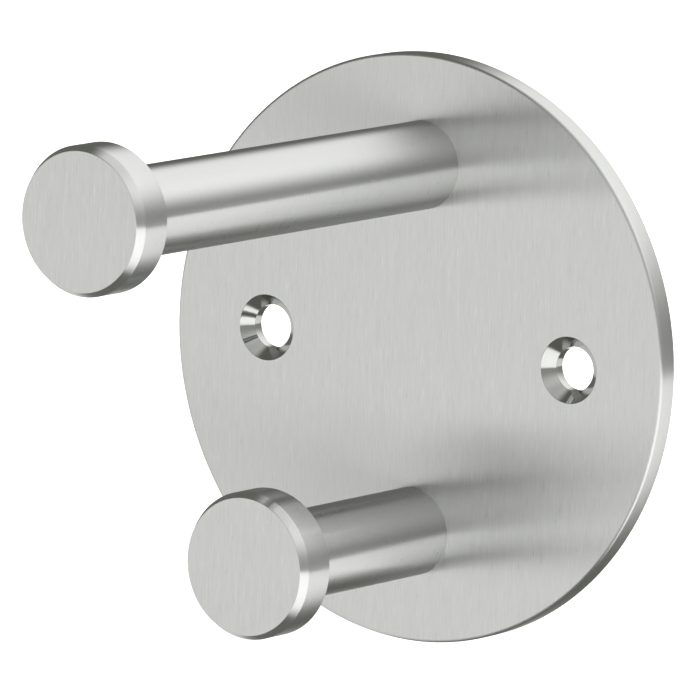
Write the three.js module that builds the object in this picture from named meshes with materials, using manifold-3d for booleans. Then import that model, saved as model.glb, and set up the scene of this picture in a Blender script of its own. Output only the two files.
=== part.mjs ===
// Two-peg wall hook: a round plate with a long peg above a short one, each ending in a round head.
// Millimetres, +Z up. The origin is the centre of the plate's back face, the one against the wall,
// and the pegs point along -Y.

import * as THREE from 'three';
import { mergeVertices } from 'three/addons/utils/BufferGeometryUtils.js';
import Module from 'manifold-3d';

const wasm = await Module();
wasm.setup();

// Wall plate
const plateDiameter = 80;
const plateThickness = 3;
const plateChamfer = 0.3;

// Countersunk holes for the two wall screws, on the plate's horizontal centreline
const wallHoleSpacing = 50;
const wallHoleDiameter = 6;
const wallSinkDiameter = 9;

// Pegs, one above the other on the plate's vertical centreline. Reach is from plate to head face.
const pegSpacing = 50;
const rodDiameter = 12;
const headDiameter = 19.8;
const headThickness = 5.8;
const headChamferRise = 0.65;
const headChamferLength = 1.15;
const pegs = [
  { name: 'long_peg', reach: 76, z: pegSpacing / 2 },
  { name: 'short_peg', reach: 38, z: -pegSpacing / 2 },
];

// Countersunk M5 screw that holds each peg from behind the plate
const screwThread = 5;
const screwHeadDiameter = 10;
const screwLength = 12;
const screwBelowFlush = 0.3;
const screwSinkRim = 0.3;

// M6 stud that holds each head on its rod
const studThread = 6;
const studLength = 12;
const studInHead = 4;

// Hexagon sockets of both, and the chamfer on the ends of their threads
const socketAcrossFlats = 3;
const socketDepth = 1.6;
const threadChamfer = 0.5;

// Room round a thread in its hole, and past its end
const threadGap = 0.3;
const endGap = 1;

const plateSegments = 144;
const turnedSegments = 64;
const holeSegments = 48;
const cutterReach = 2;

const steel = (color, roughness) => new THREE.MeshStandardMaterial({ color, roughness, metalness: 1 });
const plateSteel = () => steel(0xc4c7c5, 0.34);
const pegSteel = () => steel(0xcccecd, 0.22);
const fastenerSteel = () => steel(0xa9adb2, 0.4);

// A solid turned about the Y axis. The outline is [radius, y] corners, from the axis at the front
// to the axis at the back.
function turned(outline, segments) {
  const corners = outline.map(([radius, y]) => new THREE.Vector2(radius, y));
  return new THREE.LatheGeometry(corners, segments);
}

function toSolid(geometry) {
  const bare = geometry.clone();
  bare.deleteAttribute('normal');
  bare.deleteAttribute('uv');
  const merged = mergeVertices(bare);
  const triangles = [];
  for (let i = 0; i < merged.index.count; i += 3) {
    const corners = [0, 1, 2].map((k) => merged.index.getX(i + k));
    if (new Set(corners).size === 3) triangles.push(...corners);
  }
  return new wasm.Manifold(new wasm.Mesh({
    numProp: 3,
    vertProperties: Float32Array.from(merged.attributes.position.array),
    triVerts: Uint32Array.from(triangles),
  }));
}

function toGeometry(solid) {
  const mesh = solid.getMesh();
  const geometry = new THREE.BufferGeometry();
  geometry.setAttribute('position', new THREE.BufferAttribute(mesh.vertProperties, 3));
  geometry.setIndex(new THREE.BufferAttribute(mesh.triVerts, 1));
  geometry.computeVertexNormals();
  return geometry;
}

function cut(geometry, cutters) {
  const solid = cutters.reduce((rest, cutter) => rest.subtract(toSolid(cutter)), toSolid(geometry));
  return toGeometry(solid);
}

// A hexagonal cutter for a socket that opens at y and runs socketDepth deep, towards direction.
function socketCutter(y, direction) {
  const length = socketDepth + cutterReach;
  const cornerRadius = socketAcrossFlats / Math.sqrt(3);
  const cutter = new THREE.CylinderGeometry(cornerRadius, cornerRadius, length, 6);
  return cutter.translate(0, y + direction * (socketDepth - length / 2), 0);
}

// Countersunk from the front, for a wall screw.
function wallHoleCutter(x) {
  const sink = wallSinkDiameter / 2;
  const hole = wallHoleDiameter / 2;
  const front = -plateThickness;
  const outline = [
    [0, front - cutterReach],
    [sink + cutterReach, front - cutterReach],
    [hole, front + sink - hole],
    [hole, cutterReach],
    [0, cutterReach],
  ];
  return turned(outline, holeSegments).translate(x, 0, 0);
}

// Countersunk from the back, for a peg's own screw.
function pegHoleCutter(z) {
  const hole = screwThread / 2 + threadGap;
  const sink = screwHeadDiameter / 2 + screwSinkRim;
  const outline = [
    [0, -plateThickness - cutterReach],
    [hole, -plateThickness - cutterReach],
    [hole, hole - sink],
    [sink + cutterReach, cutterReach],
    [0, cutterReach],
  ];
  return turned(outline, holeSegments).translate(0, 0, z);
}

function wallPlate() {
  const radius = plateDiameter / 2;
  const disc = turned([
    [0, -plateThickness],
    [radius - plateChamfer, -plateThickness],
    [radius, plateChamfer - plateThickness],
    [radius, 0],
    [0, 0],
  ], plateSegments);
  const wallHoles = [-1, 1].map((side) => wallHoleCutter(side * wallHoleSpacing / 2));
  const pegHoles = pegs.map((peg) => pegHoleCutter(peg.z));
  return cut(disc, [...wallHoles, ...pegHoles]);
}

// Plain rod with a tapped hole in each end: the stud's in front, the screw's behind.
function rod(peg) {
  const front = headThickness - plateThickness - peg.reach;
  const back = -plateThickness;
  const studHole = studThread / 2 + threadGap;
  const screwHole = screwThread / 2 + threadGap;
  const studBottom = front + studLength - studInHead + endGap;
  const screwBottom = -screwBelowFlush - screwLength - endGap;
  return turned([
    [0, studBottom],
    [studHole, studBottom],
    [studHole, front],
    [rodDiameter / 2, front],
    [rodDiameter / 2, back],
    [screwHole, back],
    [screwHole, screwBottom],
    [0, screwBottom],
  ], turnedSegments);
}

// Flat-faced disc with a long shallow chamfer round its front edge and a tapped blind hole behind.
function head(peg) {
  const front = -plateThickness - peg.reach;
  const back = front + headThickness;
  const radius = headDiameter / 2;
  const hole = studThread / 2 + threadGap;
  const bottom = back - studInHead - threadGap;
  return turned([
    [0, front],
    [radius - headChamferRise, front],
    [radius, front + headChamferLength],
    [radius, back],
    [hole, back],
    [hole, bottom],
    [0, bottom],
  ], turnedSegments);
}

function headStud(peg) {
  const radius = studThread / 2;
  const front = headThickness - plateThickness - peg.reach - studInHead;
  const back = front + studLength;
  const blank = turned([
    [0, front],
    [radius - threadChamfer, front],
    [radius, front + threadChamfer],
    [radius, back - threadChamfer],
    [radius - threadChamfer, back],
    [0, back],
  ], holeSegments);
  return cut(blank, [socketCutter(front, 1)]);
}

function pegScrew() {
  const radius = screwThread / 2;
  const headRadius = screwHeadDiameter / 2;
  const back = -screwBelowFlush;
  const tip = back - screwLength;
  const blank = turned([
    [0, tip],
    [radius - threadChamfer, tip],
    [radius, tip + threadChamfer],
    [radius, back - headRadius + radius],
    [headRadius, back],
    [0, back],
  ], holeSegments);
  return cut(blank, [socketCutter(back, -1)]);
}

function part(name, geometry, material, z = 0) {
  const mesh = new THREE.Mesh(geometry, material);
  mesh.name = name;
  mesh.position.z = z;
  return mesh;
}

const hook = new THREE.Group();
hook.add(part('wall_plate', wallPlate(), plateSteel()));
for (const peg of pegs) {
  hook.add(part(`${peg.name}_rod`, rod(peg), pegSteel(), peg.z));
  hook.add(part(`${peg.name}_head`, head(peg), pegSteel(), peg.z));
  hook.add(part(`${peg.name}_head_stud`, headStud(peg), fastenerSteel(), peg.z));
  hook.add(part(`${peg.name}_screw`, pegScrew(), fastenerSteel(), peg.z));
}

export default hook;
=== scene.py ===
"""Looks of a two-peg wall hook in brushed stainless steel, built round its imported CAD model.

Metres, +Z up, the wall at +Y. Sizes come from the CAD boxes and from the driving values below.
"""

import math

import bpy
from mathutils import Matrix, Quaternion, Vector


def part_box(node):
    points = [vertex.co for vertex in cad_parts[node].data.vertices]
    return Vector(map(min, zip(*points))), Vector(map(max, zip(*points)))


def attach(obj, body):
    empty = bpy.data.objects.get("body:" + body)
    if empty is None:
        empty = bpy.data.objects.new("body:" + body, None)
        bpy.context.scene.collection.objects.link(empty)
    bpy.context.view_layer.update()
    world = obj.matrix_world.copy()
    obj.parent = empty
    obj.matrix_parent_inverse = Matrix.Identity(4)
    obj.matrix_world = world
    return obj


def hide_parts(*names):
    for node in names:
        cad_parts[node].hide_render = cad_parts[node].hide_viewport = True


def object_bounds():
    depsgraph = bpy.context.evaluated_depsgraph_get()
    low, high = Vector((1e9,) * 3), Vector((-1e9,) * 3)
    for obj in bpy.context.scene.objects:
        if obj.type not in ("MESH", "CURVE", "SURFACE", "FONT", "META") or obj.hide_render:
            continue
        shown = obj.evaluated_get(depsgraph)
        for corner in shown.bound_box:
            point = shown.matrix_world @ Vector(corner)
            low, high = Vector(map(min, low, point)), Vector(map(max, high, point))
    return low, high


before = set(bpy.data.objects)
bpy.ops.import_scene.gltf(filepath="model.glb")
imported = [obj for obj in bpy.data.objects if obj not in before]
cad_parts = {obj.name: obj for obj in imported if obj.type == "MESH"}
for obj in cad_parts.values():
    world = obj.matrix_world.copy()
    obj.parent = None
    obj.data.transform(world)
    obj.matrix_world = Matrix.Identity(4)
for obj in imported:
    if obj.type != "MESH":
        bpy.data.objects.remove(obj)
cad_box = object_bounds()

MM = 0.001
TURN = 2 * math.pi
PEGS = ("long_peg", "short_peg")

# Screws and studs, and the room round them and past their ends. The thread's depth is in pitches.
SCREW = {"radius": 2.5 * MM, "pitch": 0.8 * MM}
STUD_PITCH = 1.0 * MM
THREAD_DEPTH = 0.6
THREAD_CHAMFER = 0.5 * MM
THREAD_ROOM = 0.3 * MM
END_ROOM = 1 * MM
SOCKET = {"Flats": 3 * MM, "Depth": 1.6 * MM, "Cone": 0.5 * MM}
HALF_HEXAGON_SIDE = TURN / 12

# Plate. The border is the narrow flat ring beside each rounded edge.
WALL_HOLE = {"spacing": 50 * MM, "radius": 3 * MM, "sink": 4.5 * MM}
PEG_HOLE = {"radius": SCREW["radius"] + THREAD_ROOM, "sink": 5.3 * MM}
RIM_ROUND = 0.4 * MM
EDGE_ROUND = 0.1 * MM
EDGE_BORDER = 0.1 * MM

# Heads
HEAD_CHAMFER = {"rise": 0.65 * MM, "length": 1.15 * MM}
HEAD_ROUND = 0.1 * MM

# Fineness
PLATE_SEGMENTS = 288
HOLE_SEGMENTS = 96
PEG_SEGMENTS = 160
FASTENER_SEGMENTS = 60
ROWS_PER_PITCH = 12
ROUND_STEPS = 8

# Edges that bend less than SMOOTH_ANGLE look smooth, points closer than WELD become one, and a face
# is flat if its normal is along Y to within the cosine FLAT.
SMOOTH_ANGLE = math.radians(28)
WELD = 0.5e-6
FLAT = 0.9999

# Steel grain: the octaves of the fine and the broad noise, the broad one's scale against the fine
# one's, how much each marks the steel, how much of the marks goes into the roughness, and the
# relief's depth
FINE_DETAIL = 3.0
BROAD_DETAIL = 2.0
BROAD_SCALE = 0.25
FINE_MARKS = 6.0
BROAD_MARKS = 0.3
MARKS_ROUGHNESS = 0.3
RELIEF_DEPTH = 0.02 * MM

# Camera: a long lens, from the right and a little above
VIEW = {"azimuth": 35.60, "elevation": 9.06, "roll": 1.70, "distance": 1.4462, "lens": 554.3}
AIM = Vector((-8.81, -6.42, -0.57)) * MM
SENSOR_WIDTH = 36
CLIP = (0.05, 100)

# The white room, and how far its floor is below the hook
FLOOR_DROP = 0.12
ROOM_SIZE = 7


# ---------------------------------------------------------------- node trees written as calls


class Plug:
    """An output socket that takes part in ordinary arithmetic, so that a size is a formula."""

    def __init__(self, nodes, socket):
        self.nodes = nodes
        self.socket = socket

    def __add__(self, other):
        return self.nodes.math("ADD", self, other)

    def __radd__(self, other):
        return self.nodes.math("ADD", other, self)

    def __sub__(self, other):
        return self.nodes.math("SUBTRACT", self, other)

    def __rsub__(self, other):
        return self.nodes.math("SUBTRACT", other, self)

    def __mul__(self, other):
        return self.nodes.math("MULTIPLY", self, other)

    def __truediv__(self, other):
        return self.nodes.math("DIVIDE", self, other)

    def __rtruediv__(self, other):
        return self.nodes.math("DIVIDE", other, self)

    def __neg__(self):
        return self.nodes.math("MULTIPLY", self, -1.0)


class Nodes:
    """Adds nodes to a tree. An input takes a plain value or another node's Plug."""

    def __init__(self, tree):
        self.tree = tree

    def add(self, kind, inputs=None, out=0, **settings):
        node = self.tree.nodes.new(kind)
        for name, value in settings.items():
            setattr(node, name, value)
        for name, value in (inputs or {}).items():
            self.feed(node.inputs[name], value)
        return Plug(self, node.outputs[out])

    def feed(self, socket, value):
        if isinstance(value, Plug):
            self.tree.links.new(value.socket, socket)
        else:
            socket.default_value = value

    def math(self, operation, *values):
        return self.add("ShaderNodeMath", dict(enumerate(values)), operation=operation)

    def vector(self, x, y, z):
        return self.add("ShaderNodeCombineXYZ", {"X": x, "Y": y, "Z": z})

    def split(self, vector):
        node = self.add("ShaderNodeSeparateXYZ", {"Vector": vector}).socket.node
        return [Plug(self, socket) for socket in node.outputs]

    def ramp(self, value, low, high, start=0.0, end=1.0):
        """start up to low, end from high on, and an even S between them."""
        span = {"Value": value, "From Min": low, "From Max": high, "To Min": start, "To Max": end}
        return self.add("ShaderNodeMapRange", span, interpolation_type="SMOOTHSTEP")


class Shape(Nodes):
    """A geometry node tree with named sizes, for pieces turned about the Y axis."""

    def __init__(self, name, floats, wholes):
        super().__init__(bpy.data.node_groups.new(name, "GeometryNodeTree"))
        ports = self.tree.interface
        ports.new_socket("Geometry", in_out="OUTPUT", socket_type="NodeSocketGeometry")
        for label in floats:
            ports.new_socket(label, in_out="INPUT", socket_type="NodeSocketFloat")
        for label in wholes:
            ports.new_socket(label, in_out="INPUT", socket_type="NodeSocketInt")
        entry = self.tree.nodes.new("NodeGroupInput")
        self.size = {label: Plug(self, entry.outputs[label]) for label in (*floats, *wholes)}

    def pick(self, index, values):
        """The value whose place in the list is index."""
        node = self.tree.nodes.new("GeometryNodeIndexSwitch")
        node.data_type = "FLOAT"
        while len(node.index_switch_items) < len(values):
            node.index_switch_items.new()
        for place, value in enumerate((index, *values)):
            self.feed(node.inputs[place], value)
        return Plug(self, node.outputs[0])

    def outline(self, corners):
        """A curve through the corners, each rounded by its own radius."""
        index = self.add("GeometryNodeInputIndex")
        radius, depth, rounding, cuts, flats = (self.pick(index, c) for c in zip(*corners))
        line = self.add("GeometryNodeMeshLine", {"Count": len(corners)})
        spot = {"Geometry": line, "Position": self.vector(radius, depth, 0.0)}
        curve = self.add("GeometryNodeMeshToCurve", {0: self.add("GeometryNodeSetPosition", spot)})
        for name, values in (("cuts", cuts), ("flats", flats)):
            stored = {"Geometry": curve, "Name": name, "Value": values}
            curve = self.add("GeometryNodeStoreNamedAttribute", stored)
        soft = {"Curve": curve, "Count": ROUND_STEPS, "Radius": rounding, "Limit Radius": True}
        curve = self.add("GeometryNodeFilletCurve", soft, mode="POLY")
        return self.add("GeometryNodeSubdivideCurve", {"Curve": curve, "Cuts": self.named("cuts")})

    def named(self, name):
        return self.add("GeometryNodeInputNamedAttribute", {"Name": name}, data_type="FLOAT")

    def turn(self, corners, segments, groove=None):
        """The outline's surface of revolution. groove(depth, angle) is cut into its radius."""
        curve = self.outline(corners)
        count = {"Geometry": curve}
        rows = self.add("GeometryNodeAttributeDomainSize", count, component="CURVE")
        size = {"Size X": 1.0, "Size Y": 1.0, "Vertices X": segments + 1, "Vertices Y": rows}
        grid = self.add("GeometryNodeMeshGrid", size)
        index = self.add("GeometryNodeInputIndex")
        row = self.math("MODULO", index, rows)
        angle = (index - row) / rows * TURN / segments
        at = {"Geometry": curve, "Value": self.add("GeometryNodeInputPosition"), "Index": row}
        point = self.add("GeometryNodeSampleIndex", at, data_type="FLOAT_VECTOR")
        radius, depth, _ = self.split(point)
        at["Value"] = self.named("flats")
        flats = self.add("GeometryNodeSampleIndex", at)
        corner = 1.0 / self.math("COSINE", self.math("PINGPONG", angle, HALF_HEXAGON_SIDE))
        radius = radius * (1.0 + flats * (corner - 1.0))
        if groove:
            radius = radius - groove(depth, angle) * (1.0 - flats)
        across = radius * self.math("COSINE", angle)
        up = radius * self.math("SINE", angle)
        placed = {"Geometry": grid, "Position": self.vector(across, depth, up)}
        return self.flip(self.add("GeometryNodeSetPosition", placed))

    def flip(self, geometry):
        """Turns the faces over, so that the other side is the outside."""
        return self.add("GeometryNodeFlipFaces", {"Mesh": geometry})

    def move(self, geometry, x=0.0, y=0.0, z=0.0, rotation=(0.0, 0.0, 0.0)):
        how = {"Geometry": geometry, "Translation": self.vector(x, y, z), "Rotation": rotation}
        return self.add("GeometryNodeTransform", how)

    def join(self, parts):
        node = self.tree.nodes.new("GeometryNodeJoinGeometry")
        for part in reversed(parts):
            self.tree.links.new(part.socket, node.inputs[0])
        return Plug(self, node.outputs[0])

    def face(self, circles, depth):
        """A flat face across Y inside the first circle and outside the others.

        A circle is (radius, x, z, segments).
        """
        rings = []
        for radius, x, z, segments in circles:
            ring = {"Resolution": segments, "Radius": radius}
            curve = self.add("GeometryNodeCurvePrimitiveCircle", ring, mode="RADIUS")
            rings.append(self.move(curve, x, z))
        filled = self.add("GeometryNodeFillCurve", {"Curve": self.join(rings)}, mode="TRIANGLES")
        return self.move(filled, y=depth, rotation=(TURN / 4, 0.0, 0.0))

    def coat(self, geometry, material, selection=True):
        coated = {"Geometry": geometry, "Selection": selection, "Material": material}
        return self.add("GeometryNodeSetMaterial", coated)

    def finish(self, geometry, face):
        """Welds the piece, and gives its flat faces flat shading and their own material."""
        weld = {"Geometry": geometry, "Distance": WELD}
        geometry = self.add("GeometryNodeMergeByDistance", weld)
        _, across, _ = self.split(self.add("GeometryNodeInputNormal"))
        flat = self.math("GREATER_THAN", self.math("ABSOLUTE", across), FLAT)
        curved = {"Geometry": geometry, "Shade Smooth": 1.0 - flat}
        geometry = self.add("GeometryNodeSetShadeSmooth", curved, domain="FACE")
        bend = self.add("GeometryNodeInputMeshEdgeAngle")
        soft = {"Geometry": geometry, "Shade Smooth": self.math("LESS_THAN", bend, SMOOTH_ANGLE)}
        geometry = self.add("GeometryNodeSetShadeSmooth", soft, domain="EDGE")
        geometry = self.add("GeometryNodeRealizeInstances", {"Geometry": geometry})
        geometry = self.coat(geometry, face, flat)
        leave = self.tree.nodes.new("NodeGroupOutput")
        self.feed(leave.inputs["Geometry"], geometry)


def corner(radius, depth, rounding=0.0, cuts=0.0, flats=0.0):
    """A corner of an outline. cuts divides the stretch after it.

    flats 1 makes it hexagonal and keeps the groove off it.
    """
    return radius, depth, rounding, cuts, flats


# ---------------------------------------------------------------- steel


def steel(name, color, roughness, anisotropy, grain, tangent, contrast, bump):
    """Brushed or turned steel. grain is its noise's density along X, Y and Z, per metre.

    contrast is the strength of the marks and bump that of the relief.
    """
    material = bpy.data.materials.new(name)
    material.use_nodes = True
    nodes = Nodes(material.node_tree)
    shader = material.node_tree.nodes["Principled BSDF"]
    shader.inputs["Metallic"].default_value = 1.0
    shader.inputs["Anisotropic"].default_value = anisotropy
    place = nodes.add("ShaderNodeTexCoord", out="Object")
    stretched = nodes.add("ShaderNodeMapping", {"Vector": place, "Scale": grain})
    thin = {"Vector": stretched, "Scale": 1.0, "Detail": FINE_DETAIL}
    wide = {"Vector": stretched, "Scale": BROAD_SCALE, "Detail": BROAD_DETAIL}
    fine = nodes.add("ShaderNodeTexNoise", thin)
    broad = nodes.add("ShaderNodeTexNoise", wide)
    swing = fine - 0.5
    marks = swing * nodes.math("ABSOLUTE", swing) * FINE_MARKS
    lines = marks + (broad - 0.5) * BROAD_MARKS
    shade = {"Color": (*color, 1.0), "Value": 1.0 + lines * contrast}
    nodes.feed(shader.inputs["Base Color"], nodes.add("ShaderNodeHueSaturation", shade))
    nodes.feed(shader.inputs["Roughness"], roughness + lines * contrast * MARKS_ROUGHNESS)
    relief = {"Strength": bump, "Distance": RELIEF_DEPTH, "Height": fine}
    nodes.feed(shader.inputs["Normal"], nodes.add("ShaderNodeBump", relief))
    nodes.feed(shader.inputs["Tangent"], nodes.vector(*tangent))
    return material


def steels():
    tone = (0.64, 0.645, 0.634)
    # The countersinks' steel is darker than tone: painted shade for the countersinks in their
    # recesses.
    sink_shade_tone = (0.5, 0.505, 0.49)
    dark = (0.45, 0.46, 0.47)
    across = (1, 0, 0)
    along = (0, 1, 0)
    return {
        "brushed_face": steel("brushed_face", tone, 0.3, 1.0, (5000, 400, 400), across, 0.3, 0.15),
        "turned_side": steel("turned_side", tone, 0.28, 1.0, (500, 3000, 500), along, 0.1, 0.02),
        "polished_shaded_sink": steel("polished_shaded_sink", sink_shade_tone, 0.1, 0.0, (400, 3000, 400), along, 0.1, 0.03),
        "screw_steel": steel("screw_steel", dark, 0.34, 0.2, (900, 900, 900), along, 0.15, 0.1),
    }


# ---------------------------------------------------------------- pieces


def plate_shape(materials):
    """The plate: its rim, its four holes and the two flat faces between them."""
    shape = Shape(
        "wall_plate_shape",
        ("Radius", "Thickness", "Rim Round", "Edge Round", "Border", "Hole Spacing", "Hole Radius",
         "Hole Sink", "Peg Spacing", "Peg Hole Radius", "Peg Hole Sink"),
        ("Segments", "Hole Segments"),
    )
    size = shape.size
    soft = size["Edge Round"]
    border = size["Border"]
    front = -size["Thickness"]
    rim = [
        corner(size["Radius"] - size["Rim Round"] - border, front),
        corner(size["Radius"], front, size["Rim Round"]),
        corner(size["Radius"], 0.0, soft),
        corner(size["Radius"] - border, 0.0),
    ]
    hole = size["Hole Radius"]
    sink = size["Hole Sink"]
    wall_hole = [
        corner(sink + border, front),
        corner(sink, front, soft),
        corner(hole, front + sink - hole, soft),
        corner(hole, 0.0, soft),
        corner(hole + border, 0.0),
    ]
    peg_hole = [
        corner(size["Peg Hole Radius"] + border, front),
        corner(size["Peg Hole Radius"], front, soft),
        corner(size["Peg Hole Radius"], size["Peg Hole Radius"] - size["Peg Hole Sink"], soft),
        corner(size["Peg Hole Sink"], 0.0, soft),
        corner(size["Peg Hole Sink"] + border, 0.0),
    ]
    few = size["Hole Segments"]
    parts = [shape.coat(shape.turn(rim, size["Segments"]), materials["turned_side"])]
    front_circles = [(rim[0][0], 0.0, 0.0, size["Segments"])]
    back_circles = [(rim[-1][0], 0.0, 0.0, size["Segments"])]
    for side in (-0.5, 0.5):
        for outline, x, z in (
            (wall_hole, size["Hole Spacing"] * side, 0.0),
            (peg_hole, 0.0, size["Peg Spacing"] * side),
        ):
            bored = shape.flip(shape.turn(outline, few))
            bored = shape.coat(bored, materials["polished_shaded_sink"])
            parts.append(shape.move(bored, x=x, z=z))
            front_circles.append((outline[0][0], x, z, few))
            back_circles.append((outline[-1][0], x, z, few))
    parts.append(shape.face(front_circles, front))
    parts.append(shape.flip(shape.face(back_circles, 0.0)))
    shape.finish(shape.join(parts), materials["brushed_face"])
    return shape


def rod_shape(materials):
    """A plain rod with a tapped hole in each end."""
    shape = Shape(
        "peg_rod_shape",
        ("Height", "Radius", "Front", "Back", "Front Hole", "Front Bottom", "Back Hole",
         "Back Bottom", "Edge Round"),
        ("Segments",),
    )
    size = shape.size
    soft = size["Edge Round"]
    rod = [
        corner(0.0, size["Front Bottom"]),
        corner(size["Front Hole"], size["Front Bottom"]),
        corner(size["Front Hole"], size["Front"], soft),
        corner(size["Radius"], size["Front"], soft),
        corner(size["Radius"], size["Back"], soft),
        corner(size["Back Hole"], size["Back"], soft),
        corner(size["Back Hole"], size["Back Bottom"]),
        corner(0.0, size["Back Bottom"]),
    ]
    body = shape.coat(shape.turn(rod, size["Segments"]), materials["turned_side"])
    shape.finish(shape.move(body, z=size["Height"]), materials["turned_side"])
    return shape


def head_shape(materials):
    """A flat-faced round head with a chamfered front edge and a blind hole behind."""
    shape = Shape(
        "peg_head_shape",
        ("Height", "Radius", "Front", "Back", "Chamfer Rise", "Chamfer Length", "Hole",
         "Hole Bottom", "Edge Round"),
        ("Segments",),
    )
    size = shape.size
    soft = size["Edge Round"]
    head = [
        corner(0.0, size["Front"]),
        corner(size["Radius"] - size["Chamfer Rise"], size["Front"], soft),
        corner(size["Radius"], size["Front"] + size["Chamfer Length"], soft),
        corner(size["Radius"], size["Back"], soft),
        corner(size["Hole"], size["Back"], soft),
        corner(size["Hole"], size["Hole Bottom"]),
        corner(0.0, size["Hole Bottom"]),
    ]
    body = shape.coat(shape.turn(head, size["Segments"]), materials["turned_side"])
    shape.finish(shape.move(body, z=size["Height"]), materials["brushed_face"])
    return shape


def threaded(shape, start, end):
    """A V thread that fades in and out over one turn at its two ends."""
    pitch = shape.size["Pitch"]

    def groove(depth, angle):
        wave = shape.math("PINGPONG", depth / pitch - angle / TURN, 0.5) * 2.0
        fade_in = shape.ramp(depth, start, start + pitch)
        fade_out = shape.ramp(depth, end - pitch, end, 1.0, 0.0)
        return wave * fade_in * fade_out * pitch * THREAD_DEPTH

    return groove


def fastener_shape(materials):
    """A threaded bolt with a hexagon socket in its seat, running back from its tip.

    Crown is the seat's radius and Neck the length of the cone below it, which is the countersunk
    head of a screw or the end chamfer of a stud. Turned swings it about Z to face the other way.
    """
    shape = Shape(
        "fastener_shape",
        ("Height", "Radius", "Crown", "Neck", "Tip", "Seat", "Pitch", "Chamfer", "Flats", "Depth",
         "Cone", "Turned"),
        ("Rows", "Segments"),
    )
    size = shape.size
    radius = size["Radius"]
    seat = size["Seat"]
    thread_start = size["Tip"] + size["Chamfer"]
    thread_end = seat - size["Neck"]
    floor = seat - size["Depth"]
    flat = size["Flats"] / 2.0
    outline = [
        corner(0.0, size["Tip"]),
        corner(radius - size["Chamfer"], size["Tip"]),
        corner(radius, thread_start, 0.0, size["Rows"] - 1.0),
        corner(radius, thread_end),
        corner(size["Crown"], seat),
        corner(flat, seat, flats=1.0),
        corner(flat, floor, flats=1.0),
        corner(0.0, floor - size["Cone"], flats=1.0),
    ]
    body = shape.turn(outline, size["Segments"], threaded(shape, thread_start, thread_end))
    swing = shape.vector(0.0, 0.0, size["Turned"])
    body = shape.move(shape.coat(body, materials["screw_steel"]), z=size["Height"], rotation=swing)
    shape.finish(body, materials["screw_steel"])
    return shape


def make(name, shape, sizes):
    """Runs a shape with its sizes, attaches the plain mesh it makes to the root and hides its CAD
    node.
    """
    piece = bpy.data.objects.new(name, bpy.data.meshes.new(name + "_blank"))
    bpy.context.scene.collection.objects.link(piece)
    modifier = piece.modifiers.new("shape", "NODES")
    modifier.node_group = shape.tree
    for port in shape.tree.interface.items_tree:
        if port.in_out == "INPUT":
            modifier[port.identifier] = sizes[port.name]
    graph = bpy.context.evaluated_depsgraph_get()
    mesh = bpy.data.meshes.new_from_object(piece.evaluated_get(graph), depsgraph=graph)
    piece.modifiers.remove(modifier)
    piece.data = mesh
    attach(piece, "root")
    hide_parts(name.removesuffix("_finished"))


def make_plate(materials):
    low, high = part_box("wall_plate")
    upper, lower = (peg_height(peg) for peg in PEGS)
    make("wall_plate_finished", plate_shape(materials), {
        "Radius": (high.z - low.z) / 2, "Thickness": high.y - low.y, "Rim Round": RIM_ROUND,
        "Edge Round": EDGE_ROUND, "Border": EDGE_BORDER, "Hole Spacing": WALL_HOLE["spacing"],
        "Hole Radius": WALL_HOLE["radius"], "Hole Sink": WALL_HOLE["sink"],
        "Peg Spacing": upper - lower, "Peg Hole Radius": PEG_HOLE["radius"],
        "Peg Hole Sink": PEG_HOLE["sink"], "Segments": PLATE_SEGMENTS,
        "Hole Segments": HOLE_SEGMENTS,
    })


def peg_height(peg):
    low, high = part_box(peg + "_rod")
    return (low.z + high.z) / 2


def make_peg(peg, rod, head, fastener):
    height = peg_height(peg)
    rod_low, rod_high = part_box(peg + "_rod")
    head_low, head_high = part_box(peg + "_head")
    stud_low, stud_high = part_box(peg + "_head_stud")
    screw_low, screw_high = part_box(peg + "_screw")
    stud_radius = (stud_high.z - stud_low.z) / 2
    screw_crown = (screw_high.z - screw_low.z) / 2
    make(peg + "_rod_finished", rod, {
        "Height": height, "Radius": (rod_high.z - rod_low.z) / 2, "Front": rod_low.y,
        "Back": rod_high.y, "Front Hole": stud_radius + THREAD_ROOM,
        "Front Bottom": stud_high.y + END_ROOM, "Back Hole": PEG_HOLE["radius"],
        "Back Bottom": screw_low.y - END_ROOM, "Edge Round": EDGE_ROUND, "Segments": PEG_SEGMENTS,
    })
    make(peg + "_head_finished", head, {
        "Height": height, "Radius": (head_high.z - head_low.z) / 2, "Front": head_low.y,
        "Back": head_high.y, "Chamfer Rise": HEAD_CHAMFER["rise"],
        "Chamfer Length": HEAD_CHAMFER["length"], "Hole": stud_radius + THREAD_ROOM,
        "Hole Bottom": stud_low.y - THREAD_ROOM, "Edge Round": HEAD_ROUND, "Segments": PEG_SEGMENTS,
    })
    make_fastener(peg + "_head_stud", fastener, {
        "Height": height, "Radius": stud_radius, "Crown": stud_radius - THREAD_CHAMFER,
        "Neck": THREAD_CHAMFER, "Tip": -stud_high.y, "Seat": -stud_low.y, "Pitch": STUD_PITCH,
        "Turned": TURN / 2,
    })
    make_fastener(peg + "_screw", fastener, {
        "Height": height, "Radius": SCREW["radius"], "Crown": screw_crown,
        "Neck": screw_crown - SCREW["radius"], "Tip": screw_low.y, "Seat": screw_high.y,
        "Pitch": SCREW["pitch"], "Turned": 0.0,
    })


def make_fastener(node, fastener, sizes):
    length = sizes["Seat"] - sizes["Tip"] - sizes["Neck"] - THREAD_CHAMFER
    rows = round(length / sizes["Pitch"] * ROWS_PER_PITCH)
    fineness = {"Chamfer": THREAD_CHAMFER, "Rows": rows, "Segments": FASTENER_SEGMENTS}
    make(node + "_finished", fastener, {**sizes, **SOCKET, **fineness})


def make_pieces():
    materials = steels()
    make_plate(materials)
    shapes = [shape(materials) for shape in (rod_shape, head_shape, fastener_shape)]
    for peg in PEGS:
        make_peg(peg, *shapes)


# ---------------------------------------------------------------- studio


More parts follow.
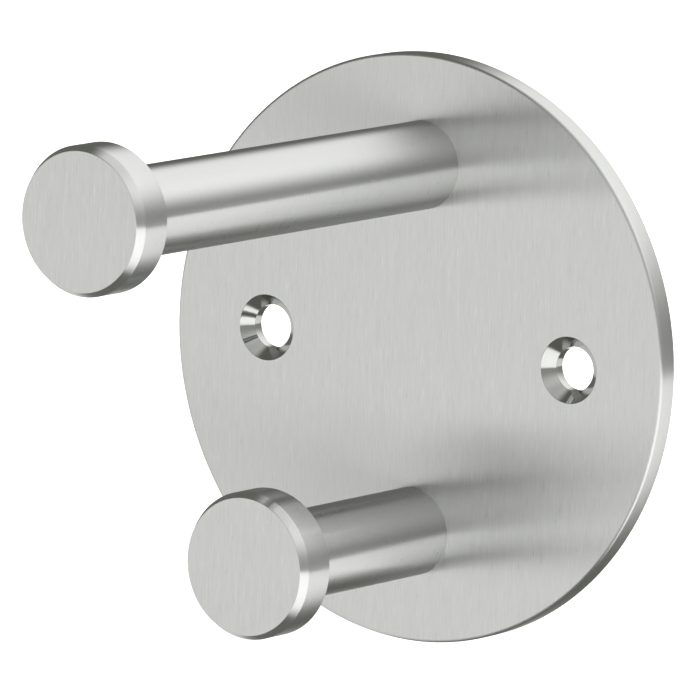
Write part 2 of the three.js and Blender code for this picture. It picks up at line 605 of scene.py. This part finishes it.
def make_camera():
    turned = math.radians(VIEW["azimuth"])
    raised = math.radians(VIEW["elevation"])
    back = Vector((
        math.sin(turned) * math.cos(raised),
        -math.cos(turned) * math.cos(raised),
        math.sin(raised),
    ))
    data = bpy.data.cameras.new("camera")
    data.lens = VIEW["lens"]
    data.sensor_width = SENSOR_WIDTH
    data.clip_start, data.clip_end = CLIP
    camera = bpy.data.objects.new("camera", data)
    bpy.context.scene.collection.objects.link(camera)
    camera.location = AIM + back * VIEW["distance"]
    roll = Quaternion((0, 0, 1), math.radians(VIEW["roll"]))
    camera.rotation_mode = "QUATERNION"
    camera.rotation_quaternion = (-back).to_track_quat("-Z", "Y") @ roll
    bpy.context.scene.camera = camera


# All the light comes from one background, which is made of smooth slopes of direction.
# DIM is everywhere. TENT is above, brightest behind, and fades out to the left. SIDE is a weak light
# from the right and FRONT one from straight ahead. TABLE is below, dimmer at the far left. SHADE is
# a dark band in it, straight below the hook, that stands for the hook's own shade, and LAMP is a
# bright patch in it to the right. Pairs are the two ends of a slope.
DIM = (0.17, 0.174, 0.155)
TENT = 1.35
TENT_HEIGHT = (0.05, 0.64)
TENT_LEFT = (-0.42, -0.08)
TENT_LEFT_TILT = 0.2
TENT_DEPTH = (-0.9, 0.9)
TENT_FRONT = 0.3
SIDE = 0.26
SIDE_SPREAD = (0.2, 0.7)
TABLE = 0.81
TABLE_EDGE = (-0.13, -0.08)
TABLE_TILT = 0.04
TABLE_LEFT = (-0.85, -0.6)
TABLE_LEFT_DIM = 0.55
FRONT = 0.4
FRONT_SPREAD = (0.8, 0.97)
SHADE_WAY = Vector((-0.04, 0.0, -1.0))
SHADE = (0.76, 0.86)
LAMP_WAY = Vector((0.78, -0.3, -0.55))
LAMP_SPREAD = (0.82, 0.9)
LAMP = 0.5


def make_world():
    world = bpy.data.worlds.new("studio")
    bpy.context.scene.world = world
    world.use_nodes = True
    nodes = Nodes(world.node_tree)
    way = nodes.add("ShaderNodeTexCoord", out="Generated")
    right, inward, height = nodes.split(way)

    def towards(direction):
        pair = {0: way, 1: tuple(direction)}
        return nodes.add("ShaderNodeVectorMath", pair, out="Value", operation="DOT_PRODUCT")

    depth = nodes.ramp(inward, *TENT_DEPTH, TENT_FRONT, 1.0)
    left = nodes.ramp(right + inward * TENT_LEFT_TILT, *TENT_LEFT)
    tent = nodes.ramp(height, *TENT_HEIGHT) * left * depth * TENT
    side = nodes.ramp(right, *SIDE_SPREAD) * SIDE
    front = nodes.ramp(-inward, *FRONT_SPREAD) * FRONT
    lamp = nodes.ramp(towards(LAMP_WAY), *LAMP_SPREAD)
    beside = nodes.math("SQRT", 1.0 - inward * inward)
    shade = nodes.ramp(towards(SHADE_WAY) / beside, *SHADE)
    far_left = nodes.ramp(right, *TABLE_LEFT, TABLE_LEFT_DIM, 1.0)
    lit = nodes.math("MAXIMUM", 1.0 - shade, lamp) * far_left
    below = nodes.ramp(height + inward * TABLE_TILT, *TABLE_EDGE, 1.0, 0.0)
    table = (lit * TABLE + lamp * LAMP) * below
    light = tent + side + front + table
    merged = dict(zip(("Red", "Green", "Blue"), (light + channel for channel in DIM)))
    background = world.node_tree.nodes["Background"]
    nodes.feed(background.inputs["Color"], nodes.add("ShaderNodeCombineColor", merged))


def make_stage():
    """The white floor and its backdrop, one closed room that only the camera sees."""
    bpy.ops.mesh.primitive_cube_add(size=ROOM_SIZE)
    room = bpy.context.object
    room.name = "white_room"
    room.data.transform(Matrix.Translation((0, 0, cad_box[0].z - FLOOR_DROP + ROOM_SIZE / 2)))
    material = bpy.data.materials.new("white_paper")
    material.use_nodes = True
    shader = material.node_tree.nodes["Principled BSDF"]
    shader.inputs["Roughness"].default_value = 1.0
    shader.inputs["Emission Color"].default_value = (1, 1, 1, 1)
    shader.inputs["Emission Strength"].default_value = 1.0
    room.data.materials.append(material)
    room.visible_glossy = False
    room.visible_diffuse = False
    room.visible_shadow = False


bpy.context.scene.view_settings.view_transform = "Standard"
make_camera()
make_world()
make_stage()
make_pieces()
